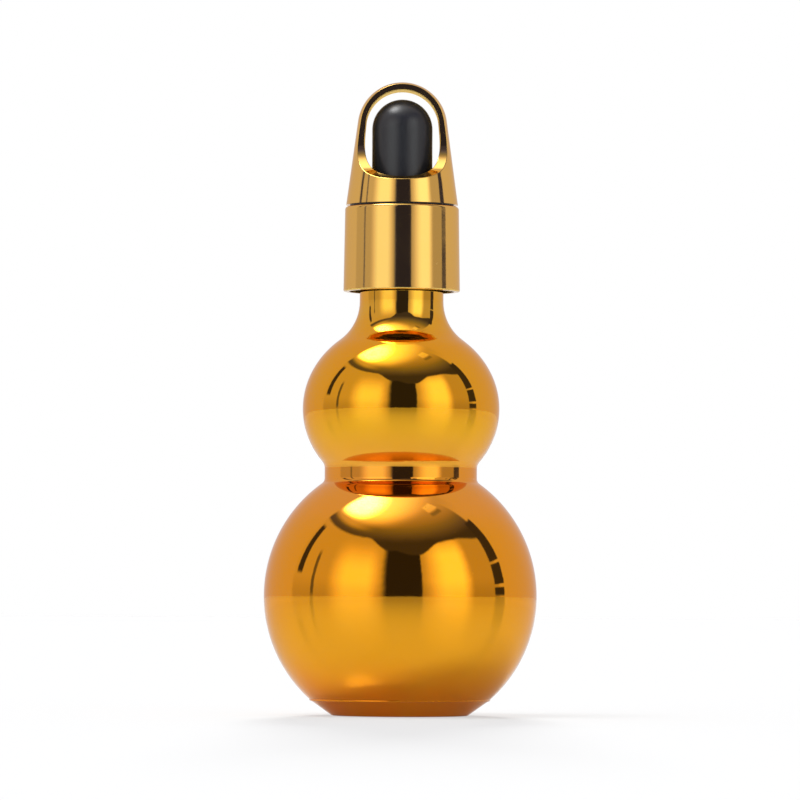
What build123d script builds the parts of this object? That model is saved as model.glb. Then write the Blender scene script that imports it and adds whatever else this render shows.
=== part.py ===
"""Dropper bottle: a blown glass body of two stacked bulbs under a screw cap with a glass
pipette, a rubber squeeze bulb and a scooped basket that arches over it.

Millimetres, +Z up. The origin is the centre of the base, on the surface that it stands on.
"""
from build123d import *
import math
import os

# Glass body, outer surface
LOWER_BULB_RADIUS = 26.4
LOWER_BULB_HALF_HEIGHT = 26.65
UPPER_BULB_RADIUS = 19.05
UPPER_BULB_HALF_HEIGHT = 17.1
WAIST_RADIUS = 14.75
WAIST_HEIGHT = 2.0
WAIST_LOWER_BLEND = 1.2
WAIST_UPPER_BLEND = 1.8
SHOULDER_BLEND = 9.3
GLASS_WALL = 2.2

# Foot of the glass body
HEEL_RADIUS = 17.1
HEEL_HEIGHT = 2.8
HEEL_FILLET = 0.6
HEEL_BEAD_WIDTH = 0.55
HEEL_BEAD_HEIGHT = 0.16
BASE_RADIUS = 13.15
BEARING_RING_WIDTH = 2.2
PUSH_UP_DEPTH = 1.3
FLOOR_THICKNESS = 2.8

# Neck and its threaded finish
FINISH_ROOT_RADIUS = 7.75
FINISH_HEIGHT = 14.75
THREAD_DEPTH = 1.0
NECK_STEP = 0.36
NECK_LENGTH = 3.1
LIP_FILLET = 0.45

# Soft plug in the neck
WIPER_FLANGE_THICKNESS = 0.7
WIPER_FLANGE_SETBACK = 0.5
WIPER_WALL = 0.9
WIPER_DEPTH = 8.0
WIPER_CONE_HEIGHT = 2.2
WIPER_PRESS_GAP = 0.05

# Glass pipette
PIPETTE_RADIUS = 3.5
PIPETTE_WALL = 1.0
PIPETTE_TIP_RADIUS = 1.5
PIPETTE_TIP_BORE_RADIUS = 0.7
PIPETTE_TAPER_LENGTH = 9.0
PIPETTE_RIM_WIDTH = 0.7
PIPETTE_RIM_HEIGHT = 1.2
PIPETTE_TIP_CLEARANCE = 8.0
PIPETTE_RUNNING_GAP = 0.2

# Sealing washer and rubber bulb
WASHER_THICKNESS = 0.9
BULB_FLANGE_THICKNESS = 1.1
BULB_NECK_WALL = 1.5
BULB_LEDGE_HEIGHT = 1.1
BULB_RIM_GAP = 0.25
BULB_WALL = 1.4
BULB_HEADROOM = 2.2
BULB_EDGE_FILLET = 0.35
FLANGE_SIDE_GAP = 0.5

# Screw cap
THREAD_CLEARANCE = 0.35
CAP_WALL = 0.95
CAP_PLATE_THICKNESS = 1.2
CAP_SKIRT_SETBACK = 0.6
CAP_HOLE_GAP = 0.15
CAP_BOSS_HEIGHT = 2.0
CAP_BOSS_WALL = 0.9

# Collar sleeve
COLLAR_HEIGHT = 16.5
COLLAR_WALL = 0.9
COLLAR_FLARE = 0.26
COLLAR_TOP_FILLET = 0.6
COLLAR_BOTTOM_FILLET = 0.3
PRESS_GAP = 0.08

# Basket with its arch
SEAM_GAP = 0.3
SEAM_STEP = 0.18
BASKET_HEIGHT = 23.9
BASKET_BASE_WALL = 2.03
DOME_RADIUS = 8.7
DOME_WALL = 1.16
ARCH_HALF_DEPTH = 2.9
SCOOP_RADIUS = 9.9
SCOOP_FLOOR_HEIGHT = 4.1
SCOOP_EDGE_FILLET = 0.12


def about(centre, angle, radius):
    """Point at an angle, in radians, on a circle about a centre."""
    return (centre[0] + radius * math.cos(angle), centre[1] + radius * math.sin(angle))


def round_arc(centre, start, end):
    """Arc about a centre, the short way from start to end."""
    first = (start[0] - centre[0], start[1] - centre[1])
    last = (end[0] - centre[0], end[1] - centre[1])
    middle = (first[0] + last[0], first[1] + last[1])
    scale = math.hypot(*first) / math.hypot(*middle)
    return ThreePointArc(start, (centre[0] + middle[0] * scale, centre[1] + middle[1] * scale), end)


def turned(*edges):
    """Solid of revolution about the axis, from a closed outline in (radius, height)."""
    return revolve(Plane.XZ * make_face(list(edges)), Axis.Z)


class Blend:
    """Hollow arc that leads from a bulb's ellipse into a straight wall nearer the axis.

    Heights are counted from the bulb's centre towards the wall.
    """

    def __init__(self, half_width, half_height, wall_radius, radius):
        low, high = 0.0, math.pi / 2
        for _ in range(60):
            self.angle = (low + high) / 2
            normal = (math.cos(self.angle) / half_width, math.sin(self.angle) / half_height)
            length = math.hypot(*normal)
            reach = half_width * math.cos(self.angle) + radius * normal[0] / length
            if reach > wall_radius + radius:
                low = self.angle
            else:
                high = self.angle
        self.on_bulb = (half_width * math.cos(self.angle), half_height * math.sin(self.angle))
        self.centre = (wall_radius + radius, self.on_bulb[1] + radius * normal[1] / length)
        self.on_wall = (wall_radius, self.centre[1])

    def arc(self, bulb_z, upward):
        """The arc as an edge, on the bulb's upper or lower side."""
        places = [(r, bulb_z + upward * h) for r, h in (self.centre, self.on_bulb, self.on_wall)]
        return round_arc(*places)


def bulb_arc(half_width, half_height, bulb_z, low_angle, high_angle):
    """A stretch of a bulb's ellipse, between two angles in radians."""
    return EllipticalCenterArc(
        (0, bulb_z),
        half_width,
        half_height,
        math.degrees(low_angle),
        arc_size=math.degrees(high_angle - low_angle),
    )


# Heights of the glass body, stacked from the base up
neck_radius = FINISH_ROOT_RADIUS + NECK_STEP
bore_radius = neck_radius - GLASS_WALL
heel_angle = -math.acos(HEEL_RADIUS / LOWER_BULB_RADIUS)
lower_bulb_z = HEEL_HEIGHT - LOWER_BULB_HALF_HEIGHT * math.sin(heel_angle)
waist_low = Blend(LOWER_BULB_RADIUS, LOWER_BULB_HALF_HEIGHT, WAIST_RADIUS, WAIST_LOWER_BLEND)
waist_high = Blend(UPPER_BULB_RADIUS, UPPER_BULB_HALF_HEIGHT, WAIST_RADIUS, WAIST_UPPER_BLEND)
shoulder = Blend(UPPER_BULB_RADIUS, UPPER_BULB_HALF_HEIGHT, neck_radius, SHOULDER_BLEND)
upper_bulb_z = lower_bulb_z + waist_low.on_wall[1] + WAIST_HEIGHT + waist_high.on_wall[1]
neck_z = upper_bulb_z + shoulder.on_wall[1]
lip_z = neck_z + FINISH_HEIGHT
push_up_radius = BASE_RADIUS - HEEL_FILLET - BEARING_RING_WIDTH
floor_centre_z = PUSH_UP_DEPTH + FLOOR_THICKNESS

# Heights of the closure, stacked on the lip
washer_z = lip_z + WIPER_FLANGE_THICKNESS
flange_z = washer_z + WASHER_THICKNESS
ceiling_z = flange_z + BULB_FLANGE_THICKNESS
plate_z = ceiling_z + CAP_PLATE_THICKNESS
collar_top_z = plate_z - SEAM_GAP
collar_bottom_z = collar_top_z - COLLAR_HEIGHT
dome_z = plate_z + BASKET_HEIGHT - DOME_RADIUS

# Radii of the closure, from the thread outwards
cap_bore_radius = FINISH_ROOT_RADIUS + THREAD_DEPTH + THREAD_CLEARANCE
cap_radius = cap_bore_radius + CAP_WALL
collar_bore_radius = cap_radius + PRESS_GAP
collar_top_radius = collar_bore_radius + COLLAR_WALL
basket_base_radius = collar_top_radius - SEAM_STEP
basket_bore_radius = basket_base_radius - BASKET_BASE_WALL
dome_bore_radius = DOME_RADIUS - DOME_WALL
flange_radius = cap_bore_radius - FLANGE_SIDE_GAP
tube_hole_radius = PIPETTE_RADIUS + PIPETTE_RUNNING_GAP

# Radii of the rubber bulb, round the pipette's rim
pipette_rim_radius = PIPETTE_RADIUS + PIPETTE_RIM_WIDTH
bulb_bore_radius = pipette_rim_radius + BULB_RIM_GAP
bulb_radius = bulb_bore_radius + BULB_WALL
bulb_neck_radius = PIPETTE_RADIUS + BULB_NECK_WALL
bulb_ledge_z = plate_z + BULB_LEDGE_HEIGHT
bulb_top_z = dome_z + dome_bore_radius - BULB_HEADROOM


def on_lower_bulb(angle, proud=0.0):
    """Point of the lower bulb's outline at an angle, or a little proud of it."""
    normal = (math.cos(angle) / LOWER_BULB_RADIUS, math.sin(angle) / LOWER_BULB_HALF_HEIGHT)
    length = math.hypot(*normal)
    return (
        LOWER_BULB_RADIUS * math.cos(angle) + proud * normal[0] / length,
        lower_bulb_z + LOWER_BULB_HALF_HEIGHT * math.sin(angle) + proud * normal[1] / length,
    )


def glass_side(inset, low_angle):
    """Both bulbs, the waist and the shoulder, at a depth below the outer surface."""
    lower = (LOWER_BULB_RADIUS - inset, LOWER_BULB_HALF_HEIGHT - inset)
    upper = (UPPER_BULB_RADIUS - inset, UPPER_BULB_HALF_HEIGHT - inset)
    wall = WAIST_RADIUS - inset
    low = Blend(*lower, wall, WAIST_LOWER_BLEND + inset)
    high = Blend(*upper, wall, WAIST_UPPER_BLEND + inset)
    top = Blend(*upper, neck_radius - inset, SHOULDER_BLEND + inset)
    waist_bottom = (wall, lower_bulb_z + low.on_wall[1])
    waist_top = (wall, upper_bulb_z - high.on_wall[1])
    return [
        bulb_arc(*lower, lower_bulb_z, low_angle, low.angle),
        low.arc(lower_bulb_z, 1),
        Line(waist_bottom, waist_top),
        high.arc(upper_bulb_z, -1),
        bulb_arc(*upper, upper_bulb_z, -high.angle, top.angle),
        top.arc(upper_bulb_z, 1),
    ]


def make_bottle():
    """Hollow glass body, one outline from the push-up round to the axis inside.

    A thin bead runs round the heel, where the mould's base plate met its sides.
    """
    floor_angle = math.asin((FLOOR_THICKNESS - lower_bulb_z) / (LOWER_BULB_HALF_HEIGHT - GLASS_WALL))
    floor_radius = (LOWER_BULB_RADIUS - GLASS_WALL) * math.cos(floor_angle)
    bead_angle = HEEL_BEAD_WIDTH / LOWER_BULB_RADIUS
    bead = ThreePointArc(
        on_lower_bulb(heel_angle),
        on_lower_bulb(heel_angle + bead_angle / 2, HEEL_BEAD_HEIGHT),
        on_lower_bulb(heel_angle + bead_angle),
    )
    outside = glass_side(0, heel_angle + bead_angle)
    inside = glass_side(GLASS_WALL, floor_angle)
    step_z = neck_z + NECK_LENGTH
    foot = FilletPolyline(
        (push_up_radius, 0), (BASE_RADIUS, 0), (HEEL_RADIUS, HEEL_HEIGHT), radius=HEEL_FILLET
    )
    neck = Polyline(
        (neck_radius, neck_z), (neck_radius, step_z), (FINISH_ROOT_RADIUS, step_z + NECK_STEP)
    )
    finish = FilletPolyline(
        (FINISH_ROOT_RADIUS, step_z + NECK_STEP),
        (FINISH_ROOT_RADIUS, lip_z),
        (bore_radius, lip_z),
        inside[-1] @ 1,
        radius=LIP_FILLET,
    )
    floor = ThreePointArc(
        (floor_radius, FLOOR_THICKNESS), (0, floor_centre_z), (-floor_radius, FLOOR_THICKNESS)
    ).trim(0, 0.5)
    push_up = ThreePointArc(
        (push_up_radius, 0), (0, PUSH_UP_DEPTH), (-push_up_radius, 0)
    ).trim(0, 0.5)
    axis = Line((0, PUSH_UP_DEPTH), (0, floor_centre_z))
    return turned(foot, bead, *outside, neck, finish, *inside, floor, axis, push_up)


def make_neck_wiper():
    """Plug with a flange on the lip and a cone that narrows to the pipette."""
    outer_radius = bore_radius - WIPER_PRESS_GAP
    inner_radius = outer_radius - WIPER_WALL
    flange_edge = FINISH_ROOT_RADIUS - WIPER_FLANGE_SETBACK
    bottom_z = washer_z - WIPER_DEPTH
    return turned(
        Polyline(
            (inner_radius, washer_z),
            (flange_edge, washer_z),
            (flange_edge, lip_z),
            (outer_radius, lip_z),
            (outer_radius, bottom_z + WIPER_WALL),
            (outer_radius - WIPER_WALL, bottom_z),
            (tube_hole_radius, bottom_z),
            (inner_radius, bottom_z + WIPER_CONE_HEIGHT),
            close=True,
        )
    )


def make_sealing_washer():
    """Flat soft ring, loose on the pipette, between the wiper and the bulb's flange."""
    return turned(
        Polyline(
            (tube_hole_radius, washer_z),
            (flange_radius, washer_z),
            (flange_radius, flange_z),
            (tube_hole_radius, flange_z),
            close=True,
        )
    )


def make_pipette():
    """Glass tube with a rim that hangs on the bulb's inner ledge and a drawn-in tip."""
    tip_z = floor_centre_z + PIPETTE_TIP_CLEARANCE
    top_z = bulb_ledge_z + PIPETTE_RIM_HEIGHT
    taper_z = tip_z + PIPETTE_TAPER_LENGTH
    bore = PIPETTE_RADIUS - PIPETTE_WALL
    return turned(
        Polyline(
            (PIPETTE_TIP_BORE_RADIUS, tip_z),
            (PIPETTE_TIP_RADIUS, tip_z),
            (PIPETTE_RADIUS, taper_z),
            (PIPETTE_RADIUS, bulb_ledge_z),
            (pipette_rim_radius, bulb_ledge_z),
            (pipette_rim_radius, top_z),
            (bore, top_z),
            (bore, taper_z),
            close=True,
        )
    )


def make_rubber_bulb():
    """Squeeze bulb: a flange under the cap's plate, a neck through it and a domed body."""
    dome_start_z = bulb_top_z - bulb_radius
    centre = (0, dome_start_z)
    flange_top = (bulb_neck_radius, ceiling_z)
    neck_top = (bulb_neck_radius, plate_z)
    flange = FilletPolyline(
        (flange_radius, flange_z), (flange_radius, ceiling_z), flange_top, radius=BULB_EDGE_FILLET
    )
    body = FilletPolyline(
        neck_top, (bulb_radius, plate_z), (bulb_radius, dome_start_z), radius=BULB_EDGE_FILLET
    )
    inner = Polyline(
        (bulb_bore_radius, dome_start_z),
        (bulb_bore_radius, bulb_ledge_z),
        (PIPETTE_RADIUS, bulb_ledge_z),
        (PIPETTE_RADIUS, flange_z),
        (flange_radius, flange_z),
    )
    return turned(
        flange,
        Line(flange_top, neck_top),
        body,
        round_arc(centre, (bulb_radius, dome_start_z), (0, bulb_top_z)),
        Line((0, bulb_top_z), (0, bulb_top_z - BULB_WALL)),
        round_arc(centre, (0, bulb_top_z - BULB_WALL), (bulb_bore_radius, dome_start_z)),
        inner,
    )


def make_screw_cap():
    """Skirt, top plate with the bulb's hole, and the boss that the basket is pressed on."""
    bottom_z = collar_bottom_z + CAP_SKIRT_SETBACK
    hole_radius = bulb_neck_radius + CAP_HOLE_GAP
    boss_z = plate_z + CAP_BOSS_HEIGHT
    boss_radius = basket_bore_at(CAP_BOSS_HEIGHT) - PRESS_GAP
    return turned(
        Polyline(
            (cap_bore_radius, bottom_z),
            (cap_radius, bottom_z),
            (cap_radius, plate_z),
            (boss_radius, plate_z),
            (boss_radius, boss_z),
            (boss_radius - CAP_BOSS_WALL, boss_z),
            (boss_radius - CAP_BOSS_WALL, plate_z),
            (hole_radius, plate_z),
            (hole_radius, ceiling_z),
            (cap_bore_radius, ceiling_z),
            close=True,
        )
    )


def make_collar_sleeve():
    """Ring over the cap's skirt, a little wider at the foot, which it hides from the side."""
    inner_foot = (collar_bore_radius, collar_bottom_z)
    corner = (collar_top_radius + COLLAR_FLARE, collar_bottom_z)
    waist = (collar_top_radius + COLLAR_FLARE / 2, collar_bottom_z + COLLAR_HEIGHT / 2)
    inner_head = (collar_bore_radius, collar_top_z)
    foot = FilletPolyline(inner_foot, corner, waist, radius=COLLAR_BOTTOM_FILLET)
    head = FilletPolyline(
        waist, (collar_top_radius, collar_top_z), inner_head, radius=COLLAR_TOP_FILLET
    )
    return turned(foot, head, Line(inner_head, inner_foot))


def dome_touch(base_radius, dome_radius):
    """Where the straight side that rises from the basket's base meets its dome, tangent."""
    rise = dome_z - plate_z
    base_angle = -math.atan2(rise, base_radius)
    angle = base_angle + math.acos(dome_radius / math.hypot(rise, base_radius))
    return about((0, dome_z), angle, dome_radius)


def basket_bore_at(height):
    """Radius of the basket's inner side at a height above its base."""
    touch = dome_touch(basket_bore_radius, dome_bore_radius)
    slope = (touch[0] - basket_bore_radius) / (touch[1] - plate_z)
    return basket_bore_radius + slope * height


def basket_outline(base_radius, dome_radius):
    """Side and dome of the basket, inner or outer, from the base to the axis."""
    touch = dome_touch(base_radius, dome_radius)
    top = (0, dome_z + dome_radius)
    return [Line((base_radius, plate_z), touch), round_arc((0, dome_z), touch, top)]


def make_basket():
    """Tapered shell with a domed top, scooped away in front and behind to leave an arch."""
    shell = turned(
        *basket_outline(basket_base_radius, DOME_RADIUS),
        *basket_outline(basket_bore_radius, dome_bore_radius),
        Line((0, dome_z + dome_bore_radius), (0, dome_z + DOME_RADIUS)),
        Line((basket_bore_radius, plate_z), (basket_base_radius, plate_z)),
    )
    floor_z = plate_z + SCOOP_FLOOR_HEIGHT
    scoop_centre = (ARCH_HALF_DEPTH + SCOOP_RADIUS, floor_z + SCOOP_RADIUS)
    reach = scoop_centre[0] + basket_base_radius
    above = dome_z + 2 * DOME_RADIUS
    scoop_side = (ARCH_HALF_DEPTH, scoop_centre[1])
    scoop_foot = (scoop_centre[0], floor_z)
    outline = make_face(
        [
            Line((ARCH_HALF_DEPTH, above), scoop_side),
            round_arc(scoop_centre, scoop_side, scoop_foot),
            Polyline(scoop_foot, (reach, floor_z), (reach, above), (ARCH_HALF_DEPTH, above)),
        ]
    )
    scoop = extrude(Plane.YZ * outline, amount=reach, both=True)
    basket = shell - scoop - mirror(scoop, Plane.XZ)
    rims = basket.edges().filter_by(lambda edge: edge.center().Z > plate_z + SCOOP_FLOOR_HEIGHT / 2)
    return fillet(rims, SCOOP_EDGE_FILLET)


def main():
    """Write one STEP file per piece."""
    pieces = {
        "bottle": make_bottle(),
        "neck_wiper": make_neck_wiper(),
        "sealing_washer": make_sealing_washer(),
        "pipette": make_pipette(),
        "rubber_bulb": make_rubber_bulb(),
        "screw_cap": make_screw_cap(),
        "collar_sleeve": make_collar_sleeve(),
        "basket": make_basket(),
    }
    os.makedirs("parts", exist_ok=True)
    for name, piece in pieces.items():
        export_step(piece, f"parts/{name}.step")


main()
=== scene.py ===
import math

import bmesh
import bpy
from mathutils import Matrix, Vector


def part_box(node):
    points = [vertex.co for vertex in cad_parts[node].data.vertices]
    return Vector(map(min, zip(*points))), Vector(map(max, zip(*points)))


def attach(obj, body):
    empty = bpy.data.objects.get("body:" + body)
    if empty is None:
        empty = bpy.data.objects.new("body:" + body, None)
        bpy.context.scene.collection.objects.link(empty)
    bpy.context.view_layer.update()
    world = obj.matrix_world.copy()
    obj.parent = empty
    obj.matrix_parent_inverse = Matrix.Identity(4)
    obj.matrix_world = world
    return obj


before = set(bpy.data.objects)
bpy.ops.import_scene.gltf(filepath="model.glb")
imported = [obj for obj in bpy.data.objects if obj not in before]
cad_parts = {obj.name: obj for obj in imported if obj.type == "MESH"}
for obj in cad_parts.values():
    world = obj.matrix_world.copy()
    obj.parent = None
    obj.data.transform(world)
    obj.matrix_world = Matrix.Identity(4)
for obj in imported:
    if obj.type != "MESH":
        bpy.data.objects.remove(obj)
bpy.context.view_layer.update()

MM = 0.001
WHITE = (1, 1, 1, 1)

# Camera: a long lens a little above the table, looking slightly up
CAMERA_DISTANCE = 1065 * MM
CAMERA_HEIGHT = 24 * MM
CAMERA_SIDE = -0.22 * MM
CAMERA_LENS = 247.5
CAMERA_SENSOR = 36
CAMERA_REACH = 20
CAMERA_PITCH = 1.992
CAMERA_ROLL = 0.27

# Studio directions are degrees: azimuth from the camera's side to its right, and elevation.
# A pair of numbers is where a change begins and where it is complete.
# Three numbers are the two ends of a stretch and the softness of its edges.
# Four numbers are where a stretch starts, is full, begins to fall and ends.
BEHIND = 180
ROOM_LEVEL = 0.67
FRONT_AZIMUTH = (-104, 93, 4)

# Side boxes, each with a hotter middle, and the dark gap between them
BOX_FOOT_LEVEL = 0.8
BOX_FOOT_ELEVATION = (0, 14)
BOXES_MEET_AZIMUTH = (0, 4)
LEFT_BOX_LEVEL = 0.62
LEFT_HOT_LEVEL = 0.85
LEFT_HOT_AZIMUTH = (-68, -46, -30, -15)
LEFT_HOT_ELEVATION = (46, 18)
RIGHT_BOX_LEVEL = 0.54
RIGHT_HOT_LEVEL = 1.1
RIGHT_HOT_AZIMUTH = (17, 42, 54, 67)
RIGHT_HOT_ELEVATION = (50, 30)
GAP_LEVEL = 0.028
GAP_AZIMUTH = (-18, -11, 17.6, 19.6)

# Upper edge of the boxes, which dips towards the gap and at the far right
LEFT_BOX_TOP = 46.5
LEFT_DIP_AZIMUTH = (-36, -12)
RIGHT_BOX_TOP = 42.5
RIGHT_DIP_AZIMUTH = (42, 18)
BOX_TOP_DIP = 9
FAR_RIGHT_DIP = 6
FAR_RIGHT_AZIMUTH = (60, 92)
TOPS_MEET_AZIMUTH = (-6, 12)
BOX_TOP_SOFTNESS = 1.2

# Dim wall above the boxes, brighter in two steps upwards and at the left
WALL_LEVEL = 0.06
WALL_LOWER_STEP = 0.12
WALL_LOWER_ELEVATION = (43, 54)
WALL_UPPER_STEP = 0.14
WALL_UPPER_ELEVATION = (50, 61)
WALL_LEFT_STEP = 0.45
WALL_LEFT_AZIMUTH = (-30, -72)
WALL_LEFT_ELEVATION = (49.5, 54)

# Overhead sheet with its lamp. Centres, radii and back edge are shares of the ceiling's height.
OVERHEAD_CENTRE = (-0.12, 0.17)
OVERHEAD_INNER_RADIUS = 0.47
OVERHEAD_OUTER_RADIUS = 0.62
OVERHEAD_WIDENING = 0.24
OVERHEAD_WIDENING_AZIMUTH = (-95, -10)
OVERHEAD_BACK_EDGE = (0.22, 0.1)
OVERHEAD_LEVEL = 0.6
LAMP_CENTRE = (-0.42, 0.0)
LAMP_GLOW_LEVEL = 1.6
LAMP_GLOW_RADII = (0.8, 0.3)
LAMP_CORE_RADII = (0.36, 0.12)
LAMP_IN_GLOSS = 11.0
LAMP_ON_SURFACES = 9.0

# Bright patch and dark line on the overhead sheet, each across and up
PATCH = ((57, 82, 4), (67.5, 73.5, 1.5))
PATCH_STEP = 0.5
PATCH_LINE = ((57, 80, 5), (63.5, 66.5, 1.5))
PATCH_LINE_LOSS = 0.6

# Thin dark posts, each across and up. The right one is broken by two joints.
POST_LEVEL = 0.05
LEFT_POST = ((-101, -94.5, 1.5), (13, 42, 3))
LEFT_WIRE = ((-82.2, -78.9, 1.2), (0.5, 28, 6))
LEFT_WIRE_STRENGTH = 0.8
RIGHT_POST = ((87.5, 99, 1.5), (0.5, 48, 2))
RIGHT_POST_JOINTS = ((5.3, 7.2, 0.8), (19, 20.6, 0.8))

# Tints of the studio: redder in its middle tones and bluer in the dark
RED_LEVELS = (0.3, 1.0, 0.2)
RED_GAIN = 0.13
BLUE_LEVELS = (0.3, 0.05)
BLUE_GAIN = 2.0

# Floor: the sheet that the camera sees, and the glossy table just under it
FLOOR_RADIUS = 4.0
FLOOR_SIDES = 96
SHEET_ALBEDO = 0.25
SHEET_RED_SHARE = 0.97
SHEET_GLOW = 0.56
TABLE_DROP = 0.05 * MM
TABLE_ALBEDO = 0.86
TABLE_RED_SHARE = 0.87
TABLE_ROUGHNESS = 0.16
TABLE_GLOW = 0.07

# Low lamp behind the bottle, which throws its soft shadow towards the camera
BACK_LAMP_ELEVATION = 22
BACK_LAMP_WIDTH = 13
BACK_LAMP_STRENGTH = 6.0

# Heights in millimetres above the table at which the colour of the glass changes, with painted shade
# towards the foot, a painted whitening of the highlight round the waist and painted light on the neck
FOOT_SHADE_HEIGHTS = (13, 3)
WAIST_HIGHLIGHT_HEIGHTS = (38, 52, 8)
UPPER_BULB_HEIGHTS = (44, 58)
NECK_LIGHT_HEIGHTS = (71, 79)

# Screw thread of the neck and the cap
THREAD_PITCH = 3.175 * MM
THREAD_DEPTH = 1.0 * MM
THREAD_BELOW_LIP = 8.6 * MM
NECK_ROOT_RADIUS = 7.75 * MM
NECK_THREAD_TURNS = 2.0
NECK_THREAD_WIDTH = 2.0 * MM
CAP_BORE_RADIUS = 9.1 * MM
CAP_THREAD_TURNS = 1.75
CAP_THREAD_WIDTH = 1.0 * MM


class Signal:
    """A node socket that ordinary arithmetic builds Math nodes on."""

    def __init__(self, tree, socket):
        self.tree = tree
        self.socket = socket

    def math(self, operation, *others):
        """Result of a new Math node whose first input is this signal."""
        node = self.tree.nodes.new("ShaderNodeMath")
        node.operation = operation
        for value, target in zip((self, *others), node.inputs):
            feed(self.tree, value, target)
        return Signal(self.tree, node.outputs[0])

    def __add__(self, other):
        return self.math("ADD", other)

    def __sub__(self, other):
        return self.math("SUBTRACT", other)

    def __mul__(self, other):
        return self.math("MULTIPLY", other)

    def __neg__(self):
        return self.math("MULTIPLY", -1.0)

    __radd__ = __add__
    __rmul__ = __mul__

    def __rsub__(self, other):
        return (-self) + other

    def ramp(self, low, high):
        """0 at low and 1 at high, smooth between and level outside. low may be the larger."""
        node = self.tree.nodes.new("ShaderNodeMapRange")
        node.interpolation_type = "SMOOTHSTEP"
        feed(self.tree, self, node.inputs["Value"])
        feed(self.tree, low, node.inputs["From Min"])
        feed(self.tree, high, node.inputs["From Max"])
        return Signal(self.tree, node.outputs["Result"])

    def hump(self, start, full, fall, end):
        """0 before start and after end, 1 from full to fall, smooth between."""
        return self.ramp(start, full) * self.ramp(end, fall)

    def within(self, low, high, soft):
        """1 between low and high, 0 outside, with edges that are soft wide."""
        half = soft / 2
        return self.hump(low - half, low + half, high - half, high + half)


def feed(tree, value, target):
    """Link a signal or a socket, or set a plain number or colour."""
    if isinstance(value, Signal):
        tree.links.new(value.socket, target)
    elif isinstance(value, bpy.types.NodeSocket):
        tree.links.new(value, target)
    else:
        target.default_value = value


def blend(first, second, share):
    """first where share is 0, second where it is 1."""
    return (second - first) * share + first


def add_node(tree, kind, settings=None, **inputs):
    """New node with its properties and inputs set. Underscores in input names are spaces."""
    node = tree.nodes.new(kind)
    for name, value in (settings or {}).items():
        setattr(node, name, value)
    for name, value in inputs.items():
        feed(tree, value, node.inputs[name.replace("_", " ")])
    return node


def combine_colour(tree, red, green, blue):
    """Colour made of three channels."""
    return add_node(tree, "ShaderNodeCombineColor", Red=red, Green=green, Blue=blue).outputs[0]


def mix_colours(tree, share, first, second):
    """first colour where share is 0, second where it is 1."""
    first_colour_input = 6
    second_colour_input = 7
    colour_output = 2
    mix = add_node(tree, "ShaderNodeMix", {"data_type": "RGBA"}, Factor=share)
    feed(tree, first, mix.inputs[first_colour_input])
    feed(tree, second, mix.inputs[second_colour_input])
    return mix.outputs[colour_output]


def light_path(tree, *rays):
    """1 for the named kinds of ray, 0 for the others."""
    node = add_node(tree, "ShaderNodeLightPath")
    total = Signal(tree, node.outputs[rays[0]])
    for ray in rays[1:]:
        total = total.math("MAXIMUM", Signal(tree, node.outputs[ray]))
    return total


def rectangle(azimuth, elevation, across, up):
    """1 in a soft-edged rectangle of the studio, 0 outside."""
    return azimuth.within(*across) * elevation.within(*up)


def side_boxes(azimuth, elevation):
    """Brightness of the two side boxes and of the dark gap between them."""
    foot_fade = blend(BOX_FOOT_LEVEL, 1.0, elevation.ramp(*BOX_FOOT_ELEVATION))
    left_hot = azimuth.hump(*LEFT_HOT_AZIMUTH) * elevation.ramp(*LEFT_HOT_ELEVATION)
    left_box = (left_hot * LEFT_HOT_LEVEL + LEFT_BOX_LEVEL) * foot_fade
    right_hot = azimuth.hump(*RIGHT_HOT_AZIMUTH) * elevation.ramp(*RIGHT_HOT_ELEVATION)
    right_box = (right_hot * RIGHT_HOT_LEVEL + RIGHT_BOX_LEVEL) * foot_fade
    boxes = blend(left_box, right_box, azimuth.ramp(*BOXES_MEET_AZIMUTH))
    return blend(boxes, GAP_LEVEL, azimuth.hump(*GAP_AZIMUTH))


def below_box_tops(azimuth, elevation):
    """1 below the upper edge of the boxes, 0 above it."""
    left_top = LEFT_BOX_TOP - azimuth.ramp(*LEFT_DIP_AZIMUTH) * BOX_TOP_DIP
    right_top = RIGHT_BOX_TOP - azimuth.ramp(*RIGHT_DIP_AZIMUTH) * BOX_TOP_DIP
    right_top = right_top - azimuth.ramp(*FAR_RIGHT_AZIMUTH) * FAR_RIGHT_DIP
    top = blend(left_top, right_top, azimuth.ramp(*TOPS_MEET_AZIMUTH))
    return (top - elevation).ramp(-BOX_TOP_SOFTNESS, BOX_TOP_SOFTNESS)


def upper_wall(azimuth, elevation):
    """Brightness of the dim wall above the boxes."""
    lower = elevation.ramp(*WALL_LOWER_ELEVATION) * WALL_LOWER_STEP
    upper = elevation.ramp(*WALL_UPPER_ELEVATION) * WALL_UPPER_STEP
    left = azimuth.ramp(*WALL_LEFT_AZIMUTH) * elevation.ramp(*WALL_LEFT_ELEVATION)
    return lower + upper + WALL_LEVEL + left * WALL_LEFT_STEP


def posts(azimuth, elevation):
    """1 on the thin dark posts, 0 elsewhere."""
    left_post = rectangle(azimuth, elevation, *LEFT_POST)
    left_wire = rectangle(azimuth, elevation, *LEFT_WIRE) * LEFT_WIRE_STRENGTH
    right_post = rectangle(azimuth, elevation, *RIGHT_POST)
    for joint in RIGHT_POST_JOINTS:
        right_post = right_post * (1.0 - elevation.within(*joint))
    return left_post.math("MAXIMUM", left_wire).math("MAXIMUM", right_post)


def distance(across, along, centre):
    """Distance of a point of the ceiling from a centre."""
    across = across - centre[0]
    along = along - centre[1]
    return (across * across + along * along).math("SQRT")


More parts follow.
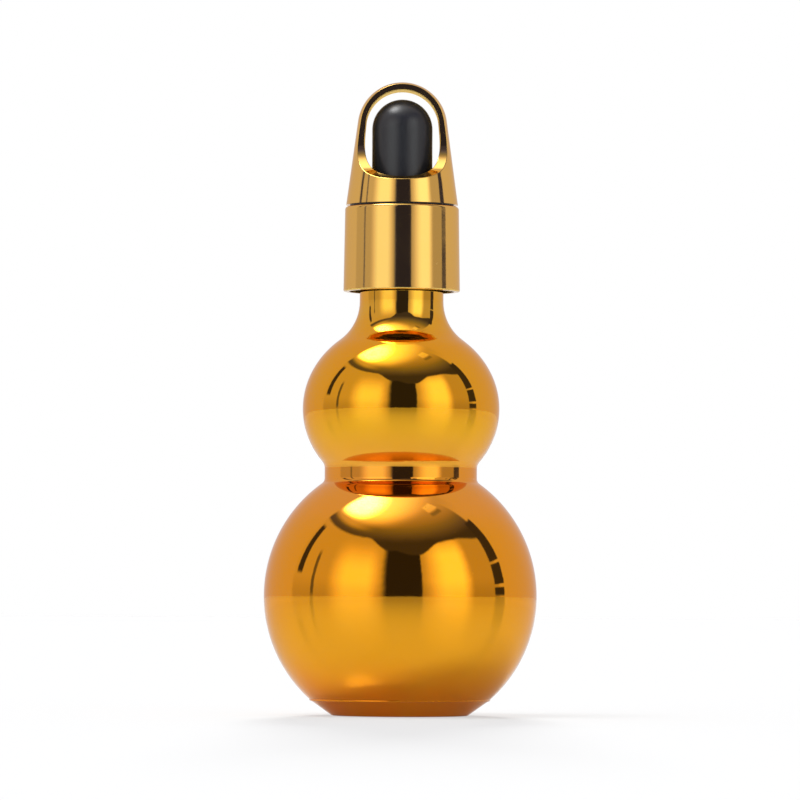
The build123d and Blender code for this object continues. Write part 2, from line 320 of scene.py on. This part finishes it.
def add_overhead(tree, level, direction, azimuth, elevation):
    """Brightness of the studio with the overhead sheet and its lamp added."""
    x, y, z = direction
    least_rise = 0.02
    rise = z.math("MAXIMUM", least_rise)
    across = x.math("DIVIDE", rise)
    along = y.math("DIVIDE", rise)

    widening = azimuth.ramp(*OVERHEAD_WIDENING_AZIMUTH) * OVERHEAD_WIDENING
    outer_radius = widening + OVERHEAD_OUTER_RADIUS
    inside = distance(across, along, OVERHEAD_CENTRE).ramp(outer_radius, OVERHEAD_INNER_RADIUS)
    inside = inside * along.ramp(*OVERHEAD_BACK_EDGE)

    from_lamp = distance(across, along, LAMP_CENTRE)
    glow = from_lamp.ramp(*LAMP_GLOW_RADII) * LAMP_GLOW_LEVEL + OVERHEAD_LEVEL
    patch = rectangle(azimuth, elevation, *PATCH) * PATCH_STEP
    patch_line = rectangle(azimuth, elevation, *PATCH_LINE) * PATCH_LINE_LOSS
    glow = (glow + patch) * (1.0 - patch_line)
    strength = blend(LAMP_ON_SURFACES, LAMP_IN_GLOSS, light_path(tree, "Is Glossy Ray"))
    return blend(level, glow + from_lamp.ramp(*LAMP_CORE_RADII) * strength, inside)


def studio_level(tree, direction):
    """How bright the studio is in each direction, given as its x, y and z."""
    x, y, z = direction
    azimuth = x.math("ARCTAN2", -y) * math.degrees(1)
    elevation = z.math("ARCSINE") * math.degrees(1)
    boxes = side_boxes(azimuth, elevation)
    front = blend(upper_wall(azimuth, elevation), boxes, below_box_tops(azimuth, elevation))
    level = blend(ROOM_LEVEL, front, azimuth.within(*FRONT_AZIMUTH))
    level = add_overhead(tree, level, direction, azimuth, elevation)
    return blend(level, POST_LEVEL, posts(azimuth, elevation))


def direction_of(azimuth, elevation):
    """Unit vector towards an azimuth and an elevation in degrees."""
    flat = math.cos(math.radians(elevation))
    return (
        flat * math.sin(math.radians(azimuth)),
        -flat * math.cos(math.radians(azimuth)),
        math.sin(math.radians(elevation)),
    )


def make_world():
    """Studio that lights the object and that the metal mirrors, white to the camera and to glass."""
    world = bpy.data.worlds.new("studio")
    world.use_nodes = True
    bpy.context.scene.world = world
    tree = world.node_tree
    tree.nodes.clear()
    generated = add_node(tree, "ShaderNodeTexCoord").outputs["Generated"]
    split = add_node(tree, "ShaderNodeSeparateXYZ", Vector=generated)
    level = studio_level(tree, [Signal(tree, split.outputs[axis]) for axis in "XYZ"])
    red = level * (1.0 + level.within(*RED_LEVELS) * RED_GAIN)
    blue = level * (1.0 + level.ramp(*BLUE_LEVELS) * BLUE_GAIN)
    studio = add_node(tree, "ShaderNodeBackground", Color=combine_colour(tree, red, level, blue))
    white = add_node(tree, "ShaderNodeBackground", Color=WHITE)
    seen = light_path(tree, "Is Camera Ray", "Is Transmission Ray")
    mix = add_node(tree, "ShaderNodeMixShader", Fac=seen)
    tree.links.new(studio.outputs[0], mix.inputs[1])
    tree.links.new(white.outputs[0], mix.inputs[2])
    out = add_node(tree, "ShaderNodeOutputWorld")
    tree.links.new(mix.outputs[0], out.inputs["Surface"])


def new_material(name):
    """Empty node material with its output."""
    material = bpy.data.materials.new(name)
    material.use_nodes = True
    tree = material.node_tree
    tree.nodes.clear()
    return material, tree, add_node(tree, "ShaderNodeOutputMaterial")


def floor_disc(name):
    """Large flat disc at the height of the base, with an empty material."""
    bpy.ops.mesh.primitive_circle_add(vertices=FLOOR_SIDES, radius=FLOOR_RADIUS, fill_type="NGON")
    disc = bpy.context.object
    disc.name = name
    material, tree, out = new_material(name)
    disc.data.materials.append(material)
    return disc, tree, out


def make_floor_sheet():
    """White sheet that the camera sees, with the object's shadow on it."""
    sheet, tree, out = floor_disc("floor_sheet")
    colour = (SHEET_ALBEDO * SHEET_RED_SHARE, SHEET_ALBEDO, SHEET_ALBEDO, 1)
    paper = add_node(tree, "ShaderNodeBsdfDiffuse", Color=colour)
    glow = add_node(tree, "ShaderNodeEmission", Color=WHITE, Strength=SHEET_GLOW)
    lit = add_node(tree, "ShaderNodeAddShader")
    tree.links.new(paper.outputs[0], lit.inputs[0])
    tree.links.new(glow.outputs[0], lit.inputs[1])
    tree.links.new(lit.outputs[0], out.inputs["Surface"])
    sheet.visible_diffuse = False
    sheet.visible_glossy = False
    sheet.visible_shadow = False
    return sheet


def make_floor_table():
    """Pale glossy table that the metal mirrors and that lights the object from below."""
    table, tree, out = floor_disc("floor_table")
    table.location.z = -TABLE_DROP
    wood = add_node(
        tree,
        "ShaderNodeBsdfPrincipled",
        Base_Color=(TABLE_ALBEDO * TABLE_RED_SHARE, TABLE_ALBEDO, TABLE_ALBEDO, 1),
        Roughness=TABLE_ROUGHNESS,
        Emission_Color=WHITE,
        Emission_Strength=TABLE_GLOW,
    )
    tree.links.new(wood.outputs[0], out.inputs["Surface"])
    table.visible_camera = False
    table.visible_transmission = False


def make_back_lamp(sheet):
    """Soft low light from behind that falls on the sheet alone."""
    data = bpy.data.lights.new("back_lamp", "SUN")
    data.energy = BACK_LAMP_STRENGTH
    data.angle = math.radians(BACK_LAMP_WIDTH)
    lamp = bpy.data.objects.new("back_lamp", data)
    bpy.context.collection.objects.link(lamp)
    towards = -Vector(direction_of(BEHIND, BACK_LAMP_ELEVATION))
    lamp.rotation_euler = towards.to_track_quat("-Z", "Y").to_euler()
    lit = bpy.data.collections.new("lit_by_back_lamp")
    lit.objects.link(sheet)
    lamp.light_linking.receiver_collection = lit


def make_camera():
    """Camera at the photograph's viewing angle."""
    data = bpy.data.cameras.new("camera")
    data.lens = CAMERA_LENS
    data.sensor_width = CAMERA_SENSOR
    data.clip_end = CAMERA_REACH
    camera = bpy.data.objects.new("camera", data)
    bpy.context.collection.objects.link(camera)
    camera.location = (CAMERA_SIDE, -CAMERA_DISTANCE, CAMERA_HEIGHT)
    forward = Vector(direction_of(BEHIND, CAMERA_PITCH))
    look = forward.to_track_quat("-Z", "Y").to_matrix().to_4x4()
    camera.rotation_euler = look.to_euler()
    camera.rotation_euler.rotate_axis("Z", math.radians(CAMERA_ROLL))
    bpy.context.scene.camera = camera


def rest_position(tree):
    """Position on the part at rest, in metres."""
    return add_node(tree, "ShaderNodeTexCoord").outputs["Object"]


def rest_height(tree):
    """Height on the part at rest, in millimetres."""
    split = add_node(tree, "ShaderNodeSeparateXYZ", Vector=rest_position(tree))
    return Signal(tree, split.outputs["Z"]) * (1 / MM)


def noise(tree, position, size, detail, roughness):
    """Noise from 0 to 1 whose cells are about size millimetres."""
    node = add_node(
        tree,
        "ShaderNodeTexNoise",
        Vector=position,
        Scale=1 / MM / size,
        Detail=detail,
        Roughness=roughness,
    )
    return Signal(tree, node.outputs["Fac"])


def bump(tree, height, distance, normal=None):
    """Normal from a height of 0 to 1 that stands for 0 to distance millimetres."""
    node = add_node(tree, "ShaderNodeBump", Height=height, Distance=distance * MM)
    if normal is not None:
        tree.links.new(normal, node.inputs["Normal"])
    return node.outputs["Normal"]


def plate(tree, out, colour, smudge, edge, roughness, coat, waviness, wave_size):
    """Bright plated surface with soft waves, a fine haze and pin-point dust."""
    position = rest_position(tree)
    haze = noise(tree, position, size=14, detail=4, roughness=0.6).ramp(0.35, 0.75)
    grain = noise(tree, position, size=0.5, detail=3, roughness=0.6)
    specks = noise(tree, position, size=0.9, detail=1, roughness=0.4).ramp(0.79, 0.83)
    waves = noise(tree, position, size=wave_size, detail=1, roughness=0.3)
    dirt = (haze * 0.6 + specks * 0.9).math("MINIMUM", 1.0)
    shader = add_node(
        tree,
        "ShaderNodeBsdfPrincipled",
        Base_Color=mix_colours(tree, dirt, colour, (*smudge, 1)),
        Metallic=1.0,
        Roughness=haze * 0.03 + specks * 0.2 + roughness,
        Normal=bump(tree, grain, distance=0.0015, normal=bump(tree, waves, waviness)),
        Coat_Weight=coat,
        Coat_Roughness=0.02,
        Specular_Tint=(*edge, 1),
    )
    tree.links.new(shader.outputs[0], out.inputs["Surface"])


def glass_colour(tree):
    """Orange gold lacquer, a little yellower on the upper bulb, palest on the neck from painted light,
    whitened round the waist by a painted highlight tint, and deepening towards the foot with painted
    shade.
    """
    height = rest_height(tree)
    # Deeper orange towards the foot: painted shade, standing in for the darker, redder reflection of
    # the table near the base
    foot_shade = height.ramp(*FOOT_SHADE_HEIGHTS)
    # Bluer band round the waist and the top of the lower bulb: painted whitening of the highlight there
    waist_highlight = height.within(*WAIST_HIGHLIGHT_HEIGHTS)
    upper = height.ramp(*UPPER_BULB_HEIGHTS)
    # Paler, yellower neck: painted light, standing in for the brighter reflections on the neck
    neck = height.ramp(*NECK_LIGHT_HEIGHTS)
    red = 0.90 - upper * 0.03 - neck * 0.05
    green = 0.36 + upper * 0.045 + neck * 0.075 - foot_shade * 0.075
    blue = 0.006 + waist_highlight * 0.03 + upper * 0.004 + neck * 0.035
    return combine_colour(tree, red, green, blue)


def make_plated_glass():
    """Lacquered plating of the glass."""
    material, tree, out = new_material("plated_glass")
    plate(
        tree,
        out,
        colour=glass_colour(tree),
        smudge=(0.87, 0.36, 0.012),
        edge=(0.88, 0.78, 0.66),
        roughness=0.03,
        coat=0.2,
        waviness=0.03,
        wave_size=11,
    )
    return material


def make_pale_gold():
    """Pale gold of the metallised plastic parts."""
    material, tree, out = new_material("pale_gold")
    plate(
        tree,
        out,
        colour=(0.82, 0.51, 0.12, 1),
        smudge=(0.80, 0.50, 0.13),
        edge=(0.88, 0.80, 0.68),
        roughness=0.07,
        coat=0.1,
        waviness=0.012,
        wave_size=7,
    )
    return material


def make_rubber():
    """Satin black rubber with a fine moulded grain."""
    material, tree, out = new_material("black_rubber")
    dark = (0.018, 0.019, 0.021, 1)
    light = (0.026, 0.027, 0.030, 1)
    position = rest_position(tree)
    cloud = noise(tree, position, size=5, detail=4, roughness=0.6)
    grain = noise(tree, position, size=0.22, detail=3, roughness=0.7)
    shader = add_node(
        tree,
        "ShaderNodeBsdfPrincipled",
        Base_Color=mix_colours(tree, cloud, dark, light),
        Roughness=cloud * 0.08 + grain * 0.06 + 0.24,
        Normal=bump(tree, grain, distance=0.004),
    )
    tree.links.new(shader.outputs[0], out.inputs["Surface"])
    return material


def moulded(name, colour, other, roughness, glow_through=0.0):
    """Moulded plastic with a soft cloudiness and a fine eroded grain."""
    material, tree, out = new_material(name)
    position = rest_position(tree)
    cloud = noise(tree, position, size=6, detail=4, roughness=0.6)
    grain = noise(tree, position, size=0.3, detail=3, roughness=0.7)
    shader = add_node(
        tree,
        "ShaderNodeBsdfPrincipled",
        Base_Color=mix_colours(tree, cloud, (*colour, 1), (*other, 1)),
        Roughness=cloud * 0.1 + roughness,
        Normal=bump(tree, grain, distance=0.008),
        Subsurface_Weight=glow_through,
    )
    tree.links.new(shader.outputs[0], out.inputs["Surface"])
    return material


def make_cap_plastic():
    """Black moulded plastic of the screw cap."""
    return moulded("cap_plastic", (0.022, 0.022, 0.023), (0.034, 0.034, 0.035), roughness=0.42)


def make_soft_plug():
    """Milky moulded plastic of the plug in the neck."""
    return moulded("soft_plug", (0.80, 0.80, 0.78), (0.72, 0.72, 0.70), roughness=0.4, glow_through=0.2)


def make_seal():
    """Soft white material of the sealing washer."""
    return moulded("seal", (0.82, 0.82, 0.80), (0.74, 0.74, 0.72), roughness=0.6, glow_through=0.1)


def make_clear_glass():
    """Drawn clear tube with faint draw lines along it, with painted shade that darkens it where its
    wall is seen edge on.
    """
    material, tree, out = new_material("clear_glass")
    stretch = add_node(tree, "ShaderNodeMapping", Vector=rest_position(tree), Scale=(1, 1, 0.05))
    lines = noise(tree, stretch.outputs[0], size=1.2, detail=2, roughness=0.5)
    facing = add_node(tree, "ShaderNodeLayerWeight", Blend=0.5).outputs["Facing"]
    # Painted shade along the tube's edges, where its wall is seen edge on
    edge = Signal(tree, facing).ramp(0.45, 1.0)
    red = 0.97 - edge * 0.55
    green = 0.985 - edge * 0.50
    blue = 0.98 - edge * 0.50
    shader = add_node(
        tree,
        "ShaderNodeBsdfPrincipled",
        Base_Color=combine_colour(tree, red, green, blue),
        Roughness=lines * 0.03 + 0.01,
        IOR=1.5,
        Transmission_Weight=1.0,
        Normal=bump(tree, lines, distance=0.01),
    )
    tree.links.new(shader.outputs[0], out.inputs["Surface"])
    return material


def helix_ridge(name, start_height, turns, root_radius, depth, width):
    """Closed screw-thread ridge that fades in and out. A negative depth points inwards."""
    steps_per_turn = 96
    across = 10
    crest_power = 3
    fade_turns = 0.12
    least_growth = 0.02
    width_at_ends = 0.4
    sunk = 0.12 * MM
    side = 1 if depth > 0 else -1
    mesh = bmesh.new()
    rings = []
    count = int(steps_per_turn * turns)
    for step in range(count + 1):
        turn = turns * step / count
        grow = min(1, turn / fade_turns, (turns - turn) / fade_turns)
        grow = max(least_growth, grow * grow * (3 - 2 * grow))
        half_width = width / 2 * blend(width_at_ends, 1, grow)
        angle = 2 * math.pi * turn
        ring = []
        for place_across in range(across + 1):
            share = 2 * place_across / across - 1
            height = start_height + turn * THREAD_PITCH + share * half_width
            rise = depth * grow * (1 - abs(share) ** crest_power)
            if abs(share) == 1:
                rise = rise - side * sunk
            radius = root_radius + rise
            ring.append(mesh.verts.new((radius * math.cos(angle), radius * math.sin(angle), height)))
        rings.append(ring)
    for first, second in zip(rings, rings[1:]):
        for i in range(across + 1):
            j = (i + 1) % (across + 1)
            mesh.faces.new((first[i], first[j], second[j], second[i]))
    mesh.faces.new(rings[0])
    mesh.faces.new(reversed(rings[-1]))
    bmesh.ops.recalc_face_normals(mesh, faces=mesh.faces)
    data = bpy.data.meshes.new(name)
    mesh.to_mesh(data)
    mesh.free()
    for polygon in data.polygons:
        polygon.use_smooth = True
    ridge = bpy.data.objects.new(name, data)
    bpy.context.collection.objects.link(ridge)
    return ridge


def paint(piece, material):
    """Give an object one material."""
    piece.data.materials.clear()
    piece.data.materials.append(material)


bpy.context.scene.view_settings.view_transform = "Standard"
make_camera()
make_world()
floor_sheet = make_floor_sheet()
make_floor_table()
make_back_lamp(floor_sheet)

plated_glass = make_plated_glass()
pale_gold = make_pale_gold()
cap_plastic = make_cap_plastic()
looks = {
    "bottle": plated_glass,
    "collar_sleeve": pale_gold,
    "basket": pale_gold,
    "rubber_bulb": make_rubber(),
    "screw_cap": cap_plastic,
    "neck_wiper": make_soft_plug(),
    "sealing_washer": make_seal(),
    "pipette": make_clear_glass(),
}
for node_name, look in looks.items():
    paint(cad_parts[node_name], look)

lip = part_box("bottle")[1][2]
thread_start = lip - THREAD_BELOW_LIP
neck_thread = helix_ridge(
    "neck_thread",
    thread_start,
    NECK_THREAD_TURNS,
    NECK_ROOT_RADIUS,
    THREAD_DEPTH,
    NECK_THREAD_WIDTH,
)
paint(neck_thread, plated_glass)
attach(neck_thread, "bottle")
cap_thread = helix_ridge(
    "cap_thread",
    thread_start - THREAD_PITCH / 2,
    CAP_THREAD_TURNS,
    CAP_BORE_RADIUS,
    -THREAD_DEPTH,
    CAP_THREAD_WIDTH,
)
paint(cap_thread, cap_plastic)
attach(cap_thread, "cap")
